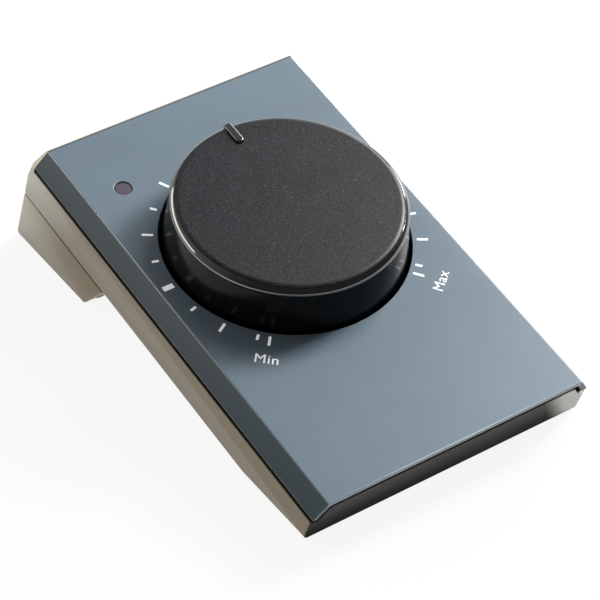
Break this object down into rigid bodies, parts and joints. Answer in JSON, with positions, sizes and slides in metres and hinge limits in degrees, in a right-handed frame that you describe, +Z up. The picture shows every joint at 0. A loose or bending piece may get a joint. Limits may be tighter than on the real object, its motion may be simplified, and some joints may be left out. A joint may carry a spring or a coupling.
{
  "type": "studio monitor controller",
  "caption": "Compact desk unit with a sloping top panel, one large round volume knob, a small lamp and sockets recessed in its rear foot.",
  "frame": {"origin": "middle of the unit's footprint, on the desk", "axes": "+X to the right, +Y to the rear, +Z up; the top panel rises towards +Y"},
  "size_m": [0.087, 0.152, 0.0495],
  "materials": {
    "cover_paint": "fine satin powder coat, blue grey",
    "housing_metal": "satin anodised, warm grey",
    "deck_plastic": "black moulding",
    "pad_rubber": "black pad",
    "knob_gloss": "polished black",
    "rim_gloss": "polished black chamfer",
    "inlay_satin": "charcoal with a fine leathery grain",
    "pointer_gloss": "polished black",
    "zinc_steel": "zinc plated",
    "nickel_brass": "nickel plated",
    "board_green": "circuit board",
    "socket_plastic": "black moulding",
    "plate_metal": "black satin",
    "lens_plastic": "smoky lamp lens",
    "light_pipe": "clear resin, shown milky"
  },
  "bodies": {
    "case": {"top_cover": "cover_paint", "housing": "housing_metal", "rear_foot": "housing_metal", "inner_deck": "deck_plastic", "front_pad": "pad_rubber", "rear_pad_left": "pad_rubber", "rear_pad_right": "pad_rubber", "control_can": "zinc_steel", "control_washer": "zinc_steel", "control_bush": "nickel_brass", "control_nut": "nickel_brass", "circuit_board": "board_green", "socket_board": "board_green", "board_link": "socket_plastic", "power_inlet": "socket_plastic", "socket_plate": "plate_metal", "lamp_lens": "lens_plastic", "lamp_body": "light_pipe", "signal_socket_1": "socket_plastic", "socket_nut_1": "nickel_brass", "case_screw_1": "zinc_steel", "foot_screw_1": "zinc_steel", "board_screw_1": "zinc_steel", "signal_socket_2": "socket_plastic", "socket_nut_2": "nickel_brass", "case_screw_2": "zinc_steel", "foot_screw_2": "zinc_steel", "board_screw_2": "zinc_steel", "signal_socket_3": "socket_plastic", "socket_nut_3": "nickel_brass", "case_screw_3": "zinc_steel", "foot_screw_3": "zinc_steel", "board_screw_3": "zinc_steel", "signal_socket_4": "socket_plastic", "socket_nut_4": "nickel_brass", "case_screw_4": "zinc_steel", "foot_screw_4": "zinc_steel", "board_screw_4": "zinc_steel"},
    "knob": {"knob_body": "knob_gloss", "knob_rim": "rim_gloss", "knob_inlay": "inlay_satin", "knob_pointer": "pointer_gloss", "control_shaft": "zinc_steel"}
  },
  "joints": [
    {"name": "knob_turn", "type": "hinge", "parent": "case", "child": "knob", "pos_m": [0, 0.00274, 0.02903], "axis": [0, -0.1676, 0.9859], "range_deg": [-140, 140]}
  ]
}
